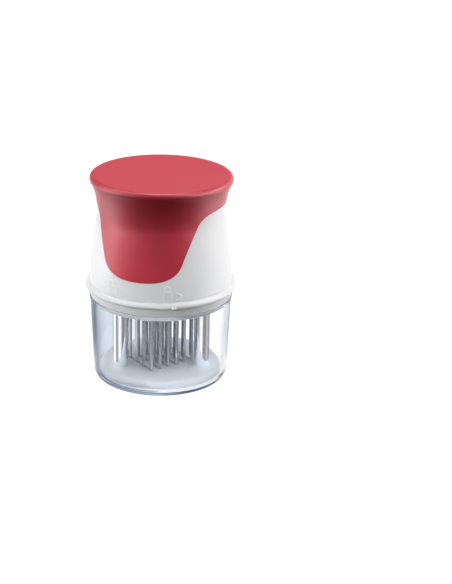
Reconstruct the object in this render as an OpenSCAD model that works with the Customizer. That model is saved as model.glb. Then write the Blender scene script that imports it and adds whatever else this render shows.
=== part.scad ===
// Blade meat tenderizer: a clear storage cup, a twist ring, a two-tone push-down grip
// and, inside, six rows of blades that come out through a sprung press plate.
// Millimetres, +Z up, origin at the middle of the cup's underside, front tongue at -Y.

/* [Cup] */
// Height of the clear cup
cup_h = 63; // [58:0.5:68]
// Outer radius of the cup at its rim
cup_rim_r = 51.2; // [49:0.1:53]
// How much narrower the cup is at its foot, on the radius
cup_draft = 2.9; // [1:0.1:4]
// Wall of the cup
cup_wall = 2.1; // [1.6:0.1:2.8]
// Thickness of the cup's floor
cup_floor = 2.6; // [2:0.1:4]
// Rounding of the foot corner outside
cup_corner_r = 5; // [3:0.5:7]
// Height of the lip round the cup's rim
lip_h = 2.4; // [1.5:0.1:3.5]
// How far the lip stands out from the cup's wall
lip_proud = 0.5; // [0.2:0.1:0.8]

/* [Twist ring] */
// Height of the plain band under the bead
band_h = 5.7; // [4:0.1:8]
// Half width of the bead's oval section
bead_r = 2.4; // [1.8:0.1:3.2]
// Height of the bead above its widest place
bead_up = 3; // [2:0.1:3.4]
// Height of the bead below its widest place
bead_down = 1.9; // [1.4:0.1:2.6]
// How far the bead stands out from the band
bead_proud = 3.4; // [2.5:0.1:4.5]
// How far the sleeve reaches down into the cup
sleeve_drop = 3.8; // [2:0.1:5]
// Wall of the sleeve beside the carrier's flange
sleeve_wall = 1.1; // [0.8:0.1:1.6]
// Width of the step that holds the ring on the flange
ring_step = 1; // [0.6:0.1:1.6]
// Angle that the grip turns from closed to open
twist_deg = 45; // [30:1:60]
// Angle of the index pip from the front, to the right
index_deg = 28.5; // [20:0.5:35]
// Radius of the round index pip on the bead
index_r = 1.9; // [1.5:0.1:2.2]
// How far the index pip stands out from the bead
index_proud = 0.8; // [0.5:0.1:1]

/* [Grip] */
// Outer radius of the grip where it meets the ring
skirt_r = 51.9; // [50.5:0.1:53]
// Radius at the shoulder, where the neck begins
shoulder_r = 46.5; // [44:0.1:48]
// Height of the shoulder above the skirt's edge
shoulder_h = 47.7; // [43:0.1:50]
// Outer radius of the grip's rim
rim_r = 51.1; // [49:0.1:53]
// Rounding of the rim
rim_round = 3.2; // [2.4:0.1:3.6]
// Height of the grip above the skirt's edge
grip_h = 78.2; // [74:0.1:82]
// Depth of the shallow dish in the top
top_dish = 0.8; // [0.4:0.1:1.5]
// Thickness of the soft cover
cover_t = 1.8; // [1.4:0.1:2.4]
// How far the cover stands proud of the white shell
cover_proud = 0.5; // [0.2:0.1:0.8]
// Height of the tongue's lowest point above the skirt's edge
tongue_low_h = 13.2; // [10:0.1:18]
// Half width of the tongue in its lower part
tongue_half_w = 29.3; // [25:0.1:32]
// Height of the tongue's rounded lower corners
tongue_corner_h = 15.5; // [12:0.1:18]
// How much the tongue's lower corners are cut
tongue_corner_cut = 2.5; // [1.5:0.1:5]
// Height above the skirt's edge at which the cover goes all round
arch_h = 59.8; // [57:0.1:62]
// Height of the rounding under the arches
arch_round = 10; // [8:0.1:12]
// How far the tongue has widened where the arch's rounding starts
arch_lean = 6.4; // [4:0.1:8]
// How far beyond the tongue's lower part the arch is level
arch_run = 21.9; // [18:0.1:24]
// Wall of the shell under the cover
shell_t = 2.2; // [1.8:0.1:3]
// Thickness of the shell's ceiling
ceiling_t = 3; // [2:0.1:4]

/* [Blades] */
// Number of blade rows
row_count = 6; // [4:1:6]
// Distance between rows
row_pitch = 7.05; // [6.6:0.05:7.2]
// Blades in a row
blade_count = 4; // [3:1:4]
// Distance between blades in a row
blade_pitch = 9.5; // [8:0.1:9.8]
// Width of one blade
blade_w = 3.6; // [2.5:0.1:4.2]
// Thickness of the blade steel
blade_t = 1.4; // [1:0.1:1.6]
// Length of the slanted cutting edge, measured down the blade
edge_h = 8; // [4:0.5:12]
// Height of the strip that joins the blades of a row
strip_h = 8; // [6:0.5:9]
// Depth of the blade tips below the press plate's top
tip_depth = 3.3; // [2:0.1:4.5]
// Turn of the blade block about the upright axis
block_deg = 51; // [45:1:55]

/* [Press plate and guides] */
// Thickness of the press plate
plate_t = 5.5; // [4.5:0.1:6.5]
// Gap between the cup's floor and the press plate
plate_lift = 2.2; // [1:0.1:4]
// Gap between the press plate's edge and the cup's wall
plate_side_gap = 1.9; // [1.2:0.1:3]
// Rounding of the press plate's upper edge
plate_round = 4.6; // [3:0.1:4.8]
// Width of the slots for the blade rows
slot_w = 2.2; // [2:0.1:2.8]
// Extra length of a slot beyond its row, at each end
slot_spare = 0.8; // [0.5:0.1:1.2]
// Outer radius of the guide tubes
tube_r = 5.65; // [5:0.05:6]
// Wall of the guide tubes
tube_wall = 0.6; // [0.5:0.05:1]
// Depth of the tube pockets in the press plate
pocket_d = 2; // [1.5:0.1:2.5]
// Distance of the guide tubes from the middle
post_dist = 31.3; // [30.8:0.1:32]
// Angle of the first guide tube from the right
post_start_deg = 1; // [-5:0.5:5]
// Angle between one guide tube and the next
post_step_deg = 110; // [108:1:112]
// Length of the plug in each tube's foot
plug_h = 12; // [10:0.5:16]

/* [Carrier] */
// Thickness of the carrier's floor
carrier_floor = 3; // [2.5:0.1:4]
// Wall of the carrier's collar
collar_wall = 2.3; // [1.8:0.1:3]
// Height that the collar reaches into the shell
collar_reach = 3.1; // [2:0.1:5]
// Wall of the guide bosses
boss_wall = 2.4; // [1.8:0.1:2.5]
// Height of the guide bosses above the carrier's floor
boss_h = 12; // [11.5:0.1:14]
// Margin of the blade block around the rows
block_margin = 1.6; // [1.2:0.1:2]
// Thickness of the clamp over the blade strips
clamp_t = 2.4; // [1.8:0.1:2.6]
// Height of the stop collars on the tubes
stop_h = 3.5; // [2.5:0.1:5]
// Width of the stop collars around the tubes
stop_w = 2.35; // [1.5:0.05:2.5]

/* [Springs and guide posts] */
// Wire radius of the return springs
wire_r = 0.5; // [0.4:0.05:0.6]
// Turns of each return spring
spring_turns = 12; // [9:1:13]
// Length of a return spring at rest
spring_len = 55; // [50:0.5:58]
// Length of a guide post inside its tube at rest
post_overlap = 9.5; // [6:0.5:14]
// Depth of the guide posts in their sockets
socket_d = 6; // [4:0.5:7]

/* [Screws] */
// Radius of the screw shanks
screw_r = 1.5; // [1.2:0.1:1.7]
// Radius of the screw heads
head_r = 2.8; // [2.4:0.1:3]
// Height of the screw heads
head_h = 1.7; // [1.2:0.1:2]
// Length of a screw under its head
screw_len = 10; // [8:0.5:10]
// Distance of the shell's screw columns from the middle
column_dist = 39; // [38.5:0.1:39.5]
// Radius of the shell's screw columns
column_r = 3.6; // [3.2:0.1:3.8]

/* [Clearances] */
// Running gap between parts that turn or slide past each other
run_gap = 0.3; // [0.2:0.05:0.4]
// Gap of the guide tubes in the carrier's bores
bore_gap = 0.05; // [0.03:0.01:0.1]
// Gap of parts that are pressed or screwed together
fit_gap = 0.05; // [0.02:0.01:0.1]
// Gap around a blade in the carrier
blade_gap = 0.1; // [0.05:0.05:0.15]
// Fine seam between the cover and the white shell
seam = 0.1; // [0.05:0.05:0.2]

/* [Hidden] */
$fn = 128;
far = 200;
nib = 0.02;

// Cup: outer radius at height z, and the radius inside the wall
foot_bend_deg = 75;
rim_edge = 0.4;
lip_r = cup_rim_r + lip_proud;
lip_z = cup_h - lip_h;
function cup_r(z) = cup_rim_r - cup_draft * (1 - z / cup_h);
function cup_in_r(z) = cup_r(z) - cup_wall;

// Twist ring, from the cup's rim up
bead_start_deg = 75;
band_r = cup_rim_r + 0.1;
sleeve_r = cup_in_r(cup_h - sleeve_drop) - run_gap;
sleeve_z = cup_h - sleeve_drop;
recess_r = sleeve_r - sleeve_wall;
bore_r = recess_r - ring_step;
recess_z = cup_h - 0.2;
bead_c_r = band_r + bead_proud - bead_r;
bead_c_z = cup_h + band_h + bead_down;
ring_top = bead_c_z + bead_up;

// Grip: heights are above the skirt's edge
skirt_z = ring_top + run_gap;
core_top = grip_h - top_dish - cover_t;
neck_lean = 0.22;
rim_start_deg = 32;
rim_c = [rim_r - rim_round, grip_h - rim_round];
rim_start = rim_c + rim_round * [cos(rim_start_deg), -sin(rim_start_deg)];
rim_pull = 10 * [sin(rim_start_deg), cos(rim_start_deg)];
shoulder = [shoulder_r, shoulder_h];
dome_pull = 11 * [neck_lean, -1];
neck_pull = 2 * [-neck_lean, 1];
skirt_pull = [-1.1, 0.385 * shoulder_h];
land_r = bore_r - run_gap + fit_gap;
land_h = collar_reach + 0.9;

// Carrier, from the ring down
carrier_r = bore_r - run_gap;
flange_top = recess_z - run_gap;
flange_t = 1.5;
carrier_z = flange_top - flange_t;
floor_top = carrier_z + carrier_floor;
collar_top = skirt_z + collar_reach;
block_top = floor_top + strip_h;
boss_r = tube_r + boss_wall;
boss_top = floor_top + boss_h;

// Blade rows
row_len = (blade_count - 1) * blade_pitch + blade_w;
block_len = (row_count - 1) * row_pitch;
block_size = [block_len + blade_t, row_len] + 2 * block_margin * [1, 1];
plate_z = cup_floor + plate_lift;
plate_top = plate_z + plate_t;
plate_r = cup_in_r(plate_z) - plate_side_gap;
tip_z = plate_top - tip_depth;

// Guides
tube_z = plate_top - pocket_d;
tube_top = boss_top + stop_h;
tube_in_r = tube_r - tube_wall;
post_r = tube_in_r - run_gap;
post_z = tube_top - post_overlap;
seat_z = tube_top + spring_len;
seat_boss_r = post_r + 2.5;
coil_r = post_r + run_gap + wire_r + 0.2;
column_degs = [56, 166, 291];
tab_deg = 235;
tab_half_deg = 3;
tab_spare_deg = 1;
tab_z = cup_h + 3;
tab_h = 3.5;
tab_proud = 1.6;
clamp_screw_u = (row_count / 2 - 1) * row_pitch;
clamp_screw_v = row_len / 2 - blade_w - 2;

// A point on a cubic curve through a and d, pulled towards b and c
function bezier(a, b, c, d, t) =
    pow(1 - t, 3) * a + 3 * t * pow(1 - t, 2) * b + 3 * t * t * (1 - t) * c + pow(t, 3) * d;
function curve(a, b, c, d, n) = [for (i = [0:n]) bezier(a, b, c, d, i / n)];
function tail(list) = [for (i = [1:len(list) - 1]) list[i]];
function bend(c, r, a0, a1, n) =
    [for (i = [0:n]) let (a = a0 + (a1 - a0) * i / n) c + r * [cos(a), sin(a)]];
function bead_point(a) =
    [bead_c_r + bead_r * cos(a), bead_c_z + (a < 0 ? bead_down : bead_up) * sin(a)];

// The grip's side: the dome up to the shoulder, then the neck out to the rim
side_curve = concat(
    curve([skirt_r, 0], [skirt_r, 0] + skirt_pull, shoulder + dome_pull, shoulder, 14),
    tail(curve(shoulder, shoulder + neck_pull, rim_start - rim_pull, rim_start, 12)));

// The tongue's right edge, from its lowest point round its corner, up and out to the arch
low_pull = 0.57;
tongue_low = [0, tongue_low_h];
tongue_side = [tongue_half_w, tongue_low_h + tongue_corner_h];
tongue_corner = [tongue_half_w - tongue_corner_cut, tongue_low_h + tongue_corner_cut];
arch_start = [tongue_half_w + arch_lean, arch_h - arch_round];
arch_end = [tongue_half_w + arch_run, arch_h];
tongue_curve = concat(
    curve(tongue_low, [low_pull * tongue_half_w, tongue_low_h], tongue_corner, tongue_side, 10),
    curve(arch_start, arch_start + arch_round * [0.2, 0.66], arch_end - arch_round * [1, 0], arch_end, 8));

module post_places() {
    for (i = [0:2]) {
        at_post(i) children();
    }
}
module at_post(i) {
    rotate([0, 0, post_start_deg + i * post_step_deg]) translate([post_dist, 0, 0]) children();
}
module column_places() {
    for (a = column_degs) {
        rotate([0, 0, a]) translate([column_dist, 0, 0]) children();
    }
}
module row_places() {
    for (i = [0:row_count - 1]) {
        at_row(i) children();
    }
}
module at_row(i) {
    rotate([0, 0, block_deg]) translate([i * row_pitch - block_len / 2, 0, 0]) children();
}
module clamp_places() {
    rotate([0, 0, block_deg])
        for (u = [-1, 1], v = [-1, 1]) {
            translate([u * clamp_screw_u, v * clamp_screw_v, 0]) children();
        }
}

// A tube or ring of rectangular section
module sleeve(r_out, r_in, z0, z1) {
    translate([0, 0, z0])
        difference() {
            cylinder(r = r_out, h = z1 - z0);
            translate([0, 0, -1]) cylinder(r = r_in, h = z1 - z0 + 2);
        }
}

// A screw standing on its head at z = 0, shank up, with a hexagon socket
module screw() {
    difference() {
        union() {
            cylinder(r = head_r, h = head_h);
            cylinder(r = screw_r, h = head_h + screw_len);
        }
        translate([0, 0, -nib]) cylinder(r = head_r * 0.45, h = head_h * 0.7, $fn = 6);
    }
}

// Clear cup: a drafted pot with a rounded foot and an even wall
module clear_cup() {
    foot_r = cup_r(cup_corner_r) - cup_corner_r;
    well_r = cup_corner_r - 1;
    well_z = cup_floor + well_r;
    color("lightblue", 0.4)
        rotate_extrude()
            polygon(concat(
                [[0, 0], [foot_r, 0]],
                bend([foot_r, cup_corner_r], cup_corner_r, -foot_bend_deg, 0, 6),
                [[cup_r(lip_z), lip_z], [lip_r, lip_z + lip_proud / 2], [lip_r, cup_h - rim_edge],
                    [lip_r - rim_edge, cup_h], [cup_rim_r - cup_wall, cup_h]],
                bend([cup_in_r(well_z) - well_r, well_z], well_r, 0, -foot_bend_deg, 6),
                [[foot_r - 1, cup_floor], [0, cup_floor]]));
}

// Twist ring: sleeve in the cup's mouth, band on its rim and the oval bead, with the
// index pip and the groove in which the carrier's tab turns
module twist_ring() {
    groove_deg = twist_deg + 2 * (tab_half_deg + tab_spare_deg);
    color("whitesmoke")
        union() {
            difference() {
                rotate_extrude()
                    polygon(concat(
                        [[recess_r, sleeve_z], [sleeve_r, sleeve_z], [sleeve_r, cup_h], [band_r, cup_h],
                            [band_r, bead_c_z - bead_down]],
                        [for (i = [0:14]) bead_point(-bead_start_deg + (90 + bead_start_deg) * i / 14)],
                        [[bore_r, ring_top], [bore_r, recess_z], [recess_r, recess_z]]));
                rotate([0, 0, tab_deg - tab_half_deg - tab_spare_deg])
                    translate([0, 0, tab_z - run_gap])
                        rotate_extrude(angle = groove_deg)
                            translate([bore_r - 1, 0])
                                square([1 + tab_proud, far]);
            }
            rotate([0, 0, index_deg - 90])
                translate([band_r + bead_proud + index_proud - index_r, 0, bead_c_z])
                    sphere(r = index_r, $fn = 48);
        }
}

// Grip solid of revolution, drawn in by inset and flat at height top
module grip_solid(inset, top) {
    side = [for (p = side_curve) if (p[1] < top) [p[0] - inset, p[1]]];
    translate([0, 0, skirt_z])
        rotate_extrude()
            polygon(concat([[0, 0]], side, [[side[len(side) - 1][0], top], [0, top]]));
}

// Whole outer form of the grip with its rounded rim and dished top
module grip_form() {
    dish_edge = rim_c[0] - 1;
    dish_n = 6;
    translate([0, 0, skirt_z])
        rotate_extrude()
            polygon(concat([[0, 0]], side_curve,
                tail(bend(rim_c, rim_round, -rim_start_deg, 90, 8)),
                [for (i = [dish_n:-1:0])
                    [dish_edge * i / dish_n, grip_h - top_dish * (1 - pow(i / dish_n, 2))]]));
}

// Everything that the cover takes: both tongues and all above the arches
module cover_region(grow) {
    edge = [for (p = tongue_curve) p + grow * [1, -1]];
    flip = [for (i = [len(edge) - 1:-1:1]) [-edge[i][0], edge[i][1]]];
    half = far / 2;
    translate([0, 0, skirt_z])
        rotate([90, 0, 0])
            linear_extrude(height = far, center = true)
                polygon(concat([[0, edge[0][1]]], tail(edge),
                    [[half, arch_h - grow], [half, half], [-half, half], [-half, arch_h - grow]],
                    flip));
}

// White shell: the core under the cover, the flush side fields and skirt, the ceiling,
// the screw columns and the sockets of the guide posts
module body_shell() {
    ceiling = core_top - ceiling_t;
    wall = cover_t + shell_t;
    cavity_side = [for (p = side_curve) if (p[1] < ceiling) [p[0] - wall, max(p[1], land_h)]];
    color("white")
        difference() {
            union() {
                difference() {
                    union() {
                        grip_solid(cover_t, core_top);
                        difference() {
                            grip_solid(cover_proud, arch_h - seam);
                            cover_region(seam);
                        }
                    }
                    translate([0, 0, skirt_z])
                        rotate_extrude()
                            polygon(concat([[0, -1], [land_r, -1], [land_r, land_h]],
                                [for (p = cavity_side) if (p[1] > land_h) p],
                                [[cavity_side[len(cavity_side) - 1][0], ceiling], [0, ceiling]]));
                }
                intersection() {
                    union() {
                        translate([0, 0, floor_top])
                            column_places() cylinder(r = column_r, h = far);
                        translate([0, 0, seat_z])
                            post_places() cylinder(r = seat_boss_r, h = far);
                    }
                    union() {
                        translate([0, 0, -far / 2])
                            cylinder(r = carrier_r - collar_wall - fit_gap, h = far / 2 + collar_top + 1);
                        grip_solid(wall - 1, ceiling + 1);
                    }
                }
            }
            translate([0, 0, floor_top - 1])
                column_places() cylinder(r = screw_r + fit_gap, h = screw_len + 2);
            translate([0, 0, seat_z - 1])
                post_places() cylinder(r = post_r, h = socket_d + 1);
        }
}

// Soft cover: a cap over the top and neck with a tongue down the front and the back
module grip_cover() {
    color("crimson")
        difference() {
            intersection() {
                grip_form();
                cover_region(0);
            }
            grip_solid(cover_t, core_top);
        }
}

// Blade carrier: floor with flange, collar, slotted block for the rows and guide bosses
module blade_carrier() {
    color("gainsboro")
        difference() {
            union() {
                translate([0, 0, carrier_z]) cylinder(r = recess_r - run_gap, h = flange_t);
                translate([0, 0, carrier_z]) cylinder(r = carrier_r, h = carrier_floor);
                sleeve(carrier_r, carrier_r - collar_wall, carrier_z + 1, collar_top);
                rotate([0, 0, block_deg])
                    translate([-block_size[0] / 2, -block_size[1] / 2, carrier_z + 1])
                        cube([block_size[0], block_size[1], block_top - carrier_z - 1]);
                translate([0, 0, carrier_z + 1])
                    post_places() cylinder(r = boss_r, h = boss_top - carrier_z - 1);
                rotate([0, 0, tab_deg - tab_half_deg])
                    translate([0, 0, tab_z])
                        rotate_extrude(angle = 2 * tab_half_deg)
                            translate([carrier_r - 1, 0])
                                square([1 + tab_proud, tab_h]);
            }
            post_places()
                translate([0, 0, carrier_z - 1])
                    cylinder(r = tube_r + bore_gap, h = far);
            row_places()
                translate([-blade_t / 2 - blade_gap, -row_len / 2 - blade_gap, floor_top])
                    cube([blade_t + 2 * blade_gap, row_len + 2 * blade_gap, far]);
            row_places()
                for (j = [0:blade_count - 1]) {
                    translate([-blade_t / 2 - blade_gap,
                        -row_len / 2 + j * blade_pitch - blade_gap, carrier_z - 1])
                        cube([blade_t + 2 * blade_gap, blade_w + 2 * blade_gap, far]);
                }
            translate([0, 0, carrier_z - 1])
                column_places() cylinder(r = screw_r + run_gap, h = far);
            translate([0, 0, carrier_z - nib])
                column_places() cylinder(r = head_r + run_gap, h = head_h + nib);
            translate([0, 0, block_top + clamp_t - screw_len - 1])
                clamp_places() cylinder(r = screw_r + fit_gap, h = far);
        }
}

// One row: a strip with its blades, each ground to a slanted chisel edge
module blade_row(i) {
    color("silver")
        at_row(i)
            translate([-blade_t / 2, 0, 0])
                rotate([90, 0, 90])
                    linear_extrude(height = blade_t)
                        union() {
                            translate([-row_len / 2, floor_top])
                                square([row_len, strip_h]);
                            for (j = [0:blade_count - 1]) {
                                translate([-row_len / 2 + j * blade_pitch, 0])
                                    polygon([[0, floor_top + 1], [0, tip_z],
                                        [blade_w, tip_z + edge_h], [blade_w, floor_top + 1]]);
                            }
                        }
}

// Clamp: a flat bar frame over the strips, screwed into the block
module blade_clamp() {
    color("lightgray")
        difference() {
            rotate([0, 0, block_deg])
                translate([-block_size[0] / 2, -block_size[1] / 2, block_top])
                    cube([block_size[0], block_size[1], clamp_t]);
            translate([0, 0, block_top - 1])
                clamp_places() cylinder(r = screw_r + run_gap, h = clamp_t + 2);
            post_places()
                translate([0, 0, block_top - 1])
                    cylinder(r = boss_r + run_gap, h = clamp_t + 2);
            translate([0, 0, block_top - 1])
                cylinder(r = row_pitch, h = clamp_t + 2);
        }
}

module clamp_screws() {
    color("dimgray")
        clamp_places()
            translate([0, 0, block_top + clamp_t + head_h])
                mirror([0, 0, 1])
                    screw();
}

module carrier_screws() {
    color("dimgray")
        column_places()
            translate([0, 0, carrier_z])
                screw();
}

// Guide post: a round pin from its socket in the ceiling down into the tube
module guide_post(i) {
    color("ghostwhite")
        at_post(i)
            union() {
                translate([0, 0, post_z + 1]) cylinder(r = post_r, h = seat_z + socket_d - post_z - 1);
                translate([0, 0, post_z]) cylinder(r1 = post_r - 1, r2 = post_r, h = 1);
            }
}

// Return spring: round wire wound between the stop collar and the boss above
spring_sides = 6;
spring_steps = 8;
spring_rise = spring_len - 2 * wire_r - 0.1;
function wire_point(a) = [coil_r * cos(a), coil_r * sin(a), spring_rise * a / (360 * spring_turns)];
function wire_ring(a) =
    [for (k = [0:spring_sides - 1])
        let (b = 360 * k / spring_sides)
            wire_point(a) + wire_r * [cos(b) * cos(a), cos(b) * sin(a), sin(b)]];
spring_rings = spring_turns * spring_steps;
spring_points = [for (s = [0:spring_rings]) each wire_ring(360 * s / spring_steps)];
spring_faces = concat(
    [[for (k = [0:spring_sides - 1]) k]],
    [for (s = [0:spring_rings - 1], k = [0:spring_sides - 1])
        let (p = s * spring_sides, q = (k + 1) % spring_sides)
            [p + k, p + spring_sides + k, p + q]],
    [for (s = [0:spring_rings - 1], k = [0:spring_sides - 1])
        let (p = s * spring_sides, q = (k + 1) % spring_sides)
            [p + q, p + spring_sides + k, p + spring_sides + q]],
    [[for (k = [spring_sides - 1:-1:0]) spring_rings * spring_sides + k]]);
function coil_gaps() =
    [for (s = [0:spring_steps], t = [spring_steps:spring_steps * 2])
        norm(wire_point(360 * s / spring_steps) - wire_point(360 * (t + s / 2) / spring_steps)) - 2 * wire_r];
echo(least_gap_between_coils = min(spring_rise / spring_turns - 2 * wire_r, min(coil_gaps())));
module spring(i) {
    color("gray")
        at_post(i)
            translate([0, 0, tube_top + wire_r + 0.05])
                polyhedron(points = spring_points, faces = spring_faces, convexity = 10);
}

// Stop collar: holds the tube's head above the guide boss
module stop_collar(i) {
    color("darkgray")
        at_post(i)
            sleeve(tube_r + stop_w, tube_r, boss_top, tube_top);
}

module guide_tube(i) {
    color("silver")
        at_post(i)
            sleeve(tube_r, tube_in_r, tube_z, tube_top);
}

// Plugs in the tubes' feet, bored for the plate's screws
module tube_plugs() {
    color("ghostwhite")
        post_places()
            sleeve(tube_in_r, screw_r + fit_gap, tube_z, tube_z + plug_h);
}

// Press plate: a slotted disc with a soft upper edge, tube pockets and screw recesses
module press_plate() {
    lower_round = 0.8;
    color("aliceblue")
        difference() {
            rotate_extrude()
                polygon(concat(
                    [[0, plate_z], [plate_r - lower_round, plate_z], [plate_r, plate_z + lower_round]],
                    bend([plate_r - plate_round, plate_top - plate_round], plate_round, 0, 90, 10),
                    [[0, plate_top]]));
            row_places()
                translate([-slot_w / 2, -row_len / 2 - slot_spare, plate_z - 1])
                    cube([slot_w, row_len + 2 * slot_spare, plate_t + 2]);
            translate([0, 0, tube_z])
                post_places() cylinder(r = tube_r, h = far);
            translate([0, 0, plate_z - 1])
                post_places() cylinder(r = screw_r + run_gap, h = far);
            translate([0, 0, plate_z - 1])
                post_places() cylinder(r = head_r + run_gap, h = 1 + head_h);
        }
}

module plate_screws() {
    color("dimgray")
        post_places()
            translate([0, 0, plate_z])
                screw();
}

clear_cup();
twist_ring();
body_shell();
grip_cover();
blade_carrier();
blade_row(0);  // blade_row_1
blade_row(1);  // blade_row_2
blade_row(2);  // blade_row_3
blade_row(3);  // blade_row_4
blade_row(4);  // blade_row_5
blade_row(5);  // blade_row_6
blade_clamp();
clamp_screws();
carrier_screws();
guide_post(0);  // guide_post_1
guide_post(1);  // guide_post_2
guide_post(2);  // guide_post_3
spring(0);  // spring_1
spring(1);  // spring_2
spring(2);  // spring_3
stop_collar(0);  // stop_collar_1
stop_collar(1);  // stop_collar_2
stop_collar(2);  // stop_collar_3
guide_tube(0);  // guide_tube_1
guide_tube(1);  // guide_tube_2
guide_tube(2);  // guide_tube_3
tube_plugs();
press_plate();
plate_screws();
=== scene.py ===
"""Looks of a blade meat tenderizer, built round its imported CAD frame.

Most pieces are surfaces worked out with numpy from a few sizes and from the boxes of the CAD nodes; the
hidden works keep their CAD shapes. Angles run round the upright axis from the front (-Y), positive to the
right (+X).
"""

import math

import bpy
import numpy as np
from mathutils import Matrix, Vector


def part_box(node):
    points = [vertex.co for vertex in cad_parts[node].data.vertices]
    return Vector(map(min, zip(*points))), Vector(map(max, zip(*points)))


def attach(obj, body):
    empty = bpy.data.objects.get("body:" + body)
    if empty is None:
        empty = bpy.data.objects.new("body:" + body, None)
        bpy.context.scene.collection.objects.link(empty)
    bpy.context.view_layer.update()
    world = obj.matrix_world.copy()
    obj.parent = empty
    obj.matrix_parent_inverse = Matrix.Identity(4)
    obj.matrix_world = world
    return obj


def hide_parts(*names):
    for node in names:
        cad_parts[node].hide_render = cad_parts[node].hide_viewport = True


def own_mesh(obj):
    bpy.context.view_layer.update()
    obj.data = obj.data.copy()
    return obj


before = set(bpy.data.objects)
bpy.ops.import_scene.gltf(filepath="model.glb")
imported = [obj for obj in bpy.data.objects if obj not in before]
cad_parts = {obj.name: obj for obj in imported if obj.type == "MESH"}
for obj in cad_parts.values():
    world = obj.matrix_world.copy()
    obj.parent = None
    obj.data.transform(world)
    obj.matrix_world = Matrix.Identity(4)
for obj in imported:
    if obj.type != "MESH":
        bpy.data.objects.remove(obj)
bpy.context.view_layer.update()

bl_info = {
    "name": "Blade Meat Tenderizer",
    "version": (1, 0, 0),
    "blender": (4, 5, 0),
    "location": "View3D > Sidebar > Tenderizer",
    "description": "Builds the cup, ring, grip, blades and press plate of a meat tenderizer",
    "category": "Object",
}

MM = 0.001
COLUMNS = 192
POLE = 0.5 * MM  # radius at which a turned surface is closed to its middle
RUN_GAP = 0.3 * MM  # running gap between the ring and the grip's skirt
SHARP_ANGLE = math.radians(38)


def node_box(name):
    """Lowest and highest corner of a CAD node as arrays."""
    low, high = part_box(name)
    return np.array(low), np.array(high)


CUP_HIGH = node_box("clear_cup")[1]
RING_LOW, RING_HIGH = node_box("twist_ring")
COVER_LOW, COVER_HIGH = node_box("grip_cover")
CARRIER_LOW, CARRIER_HIGH = node_box("blade_carrier")
PLATE_LOW, PLATE_HIGH = node_box("press_plate")
SKIRT_Z = RING_HIGH[2] + RUN_GAP


def paint(red, green, blue):
    """Linear colour of an sRGB colour that is given from 0 to 255."""
    share = np.array([red, green, blue]) / 255
    return tuple(np.where(share <= 0.04045, share / 12.92, ((share + 0.055) / 1.055) ** 2.4))


def size(name, description, default):
    """A length property in metres whose default is given in metres."""
    return bpy.props.FloatProperty(
        name=name, description=description, default=default, subtype="DISTANCE", unit="LENGTH", precision=5
    )


def turn(name, description, degrees):
    """An angle property whose default is given in degrees."""
    return bpy.props.FloatProperty(
        name=name, description=description, default=math.radians(degrees), subtype="ANGLE", unit="ROTATION"
    )


def number(name, description, default):
    """A plain number without a unit."""
    return bpy.props.FloatProperty(name=name, description=description, default=default)


def colour(name, description, default):
    """A colour property with a linear default."""
    return bpy.props.FloatVectorProperty(
        name=name, description=description, default=default, subtype="COLOR", min=0, max=1
    )


class CupSizes(bpy.types.PropertyGroup):
    """Sizes and colour of the clear cup."""

    wall: size("Wall", "Thickness of the cup's wall", 2.1 * MM)
    floor: size("Floor", "Thickness of the cup's floor", 2.6 * MM)
    draft: size("Draft", "How much narrower the cup is at its foot", 2.9 * MM)
    foot_round: size("Foot rounding", "Rounding of the foot corner outside", 5 * MM)
    rim_round: size("Rim rounding", "Rounding of the rim", 0.5 * MM)
    lip_height: size("Lip height", "Height of the lip round the rim", 2.4 * MM)
    lip_proud: size("Lip overhang", "How far the lip stands out from the wall", 0.5 * MM)
    tint: colour("Tint", "Colour that light takes in the cup's wall", (0.80, 0.88, 0.97))


class RingSizes(bpy.types.PropertyGroup):
    """Sizes of the twist ring."""

    bead_half: size("Bead half width", "Half width of the bead's oval section", 2.4 * MM)
    bead_up: size("Bead upper half", "Height of the bead above its widest line", 3 * MM)
    bead_down: size("Bead lower half", "Height of the bead below its widest line", 1.9 * MM)
    bead_proud: size("Bead overhang", "How far the bead stands out from the band", 3.4 * MM)
    groove: size("Groove", "Width and depth of the fine groove under the bead", 0.45 * MM)
    sleeve_gap: size("Sleeve gap", "Gap between the sleeve and the cup's wall", 0.3 * MM)
    sleeve_wall: size("Sleeve wall", "Wall of the sleeve", 1.1 * MM)
    step: size("Step", "Width of the step that holds the ring", 1 * MM)
    index_radius: size("Index radius", "Radius of the index pip on the bead", 1.8 * MM)
    index_proud: size("Index overhang", "How far the index pip stands out from the bead", 1.2 * MM)
    index_angle: turn("Index angle", "Angle of the index pip from the front", 27.6)


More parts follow.
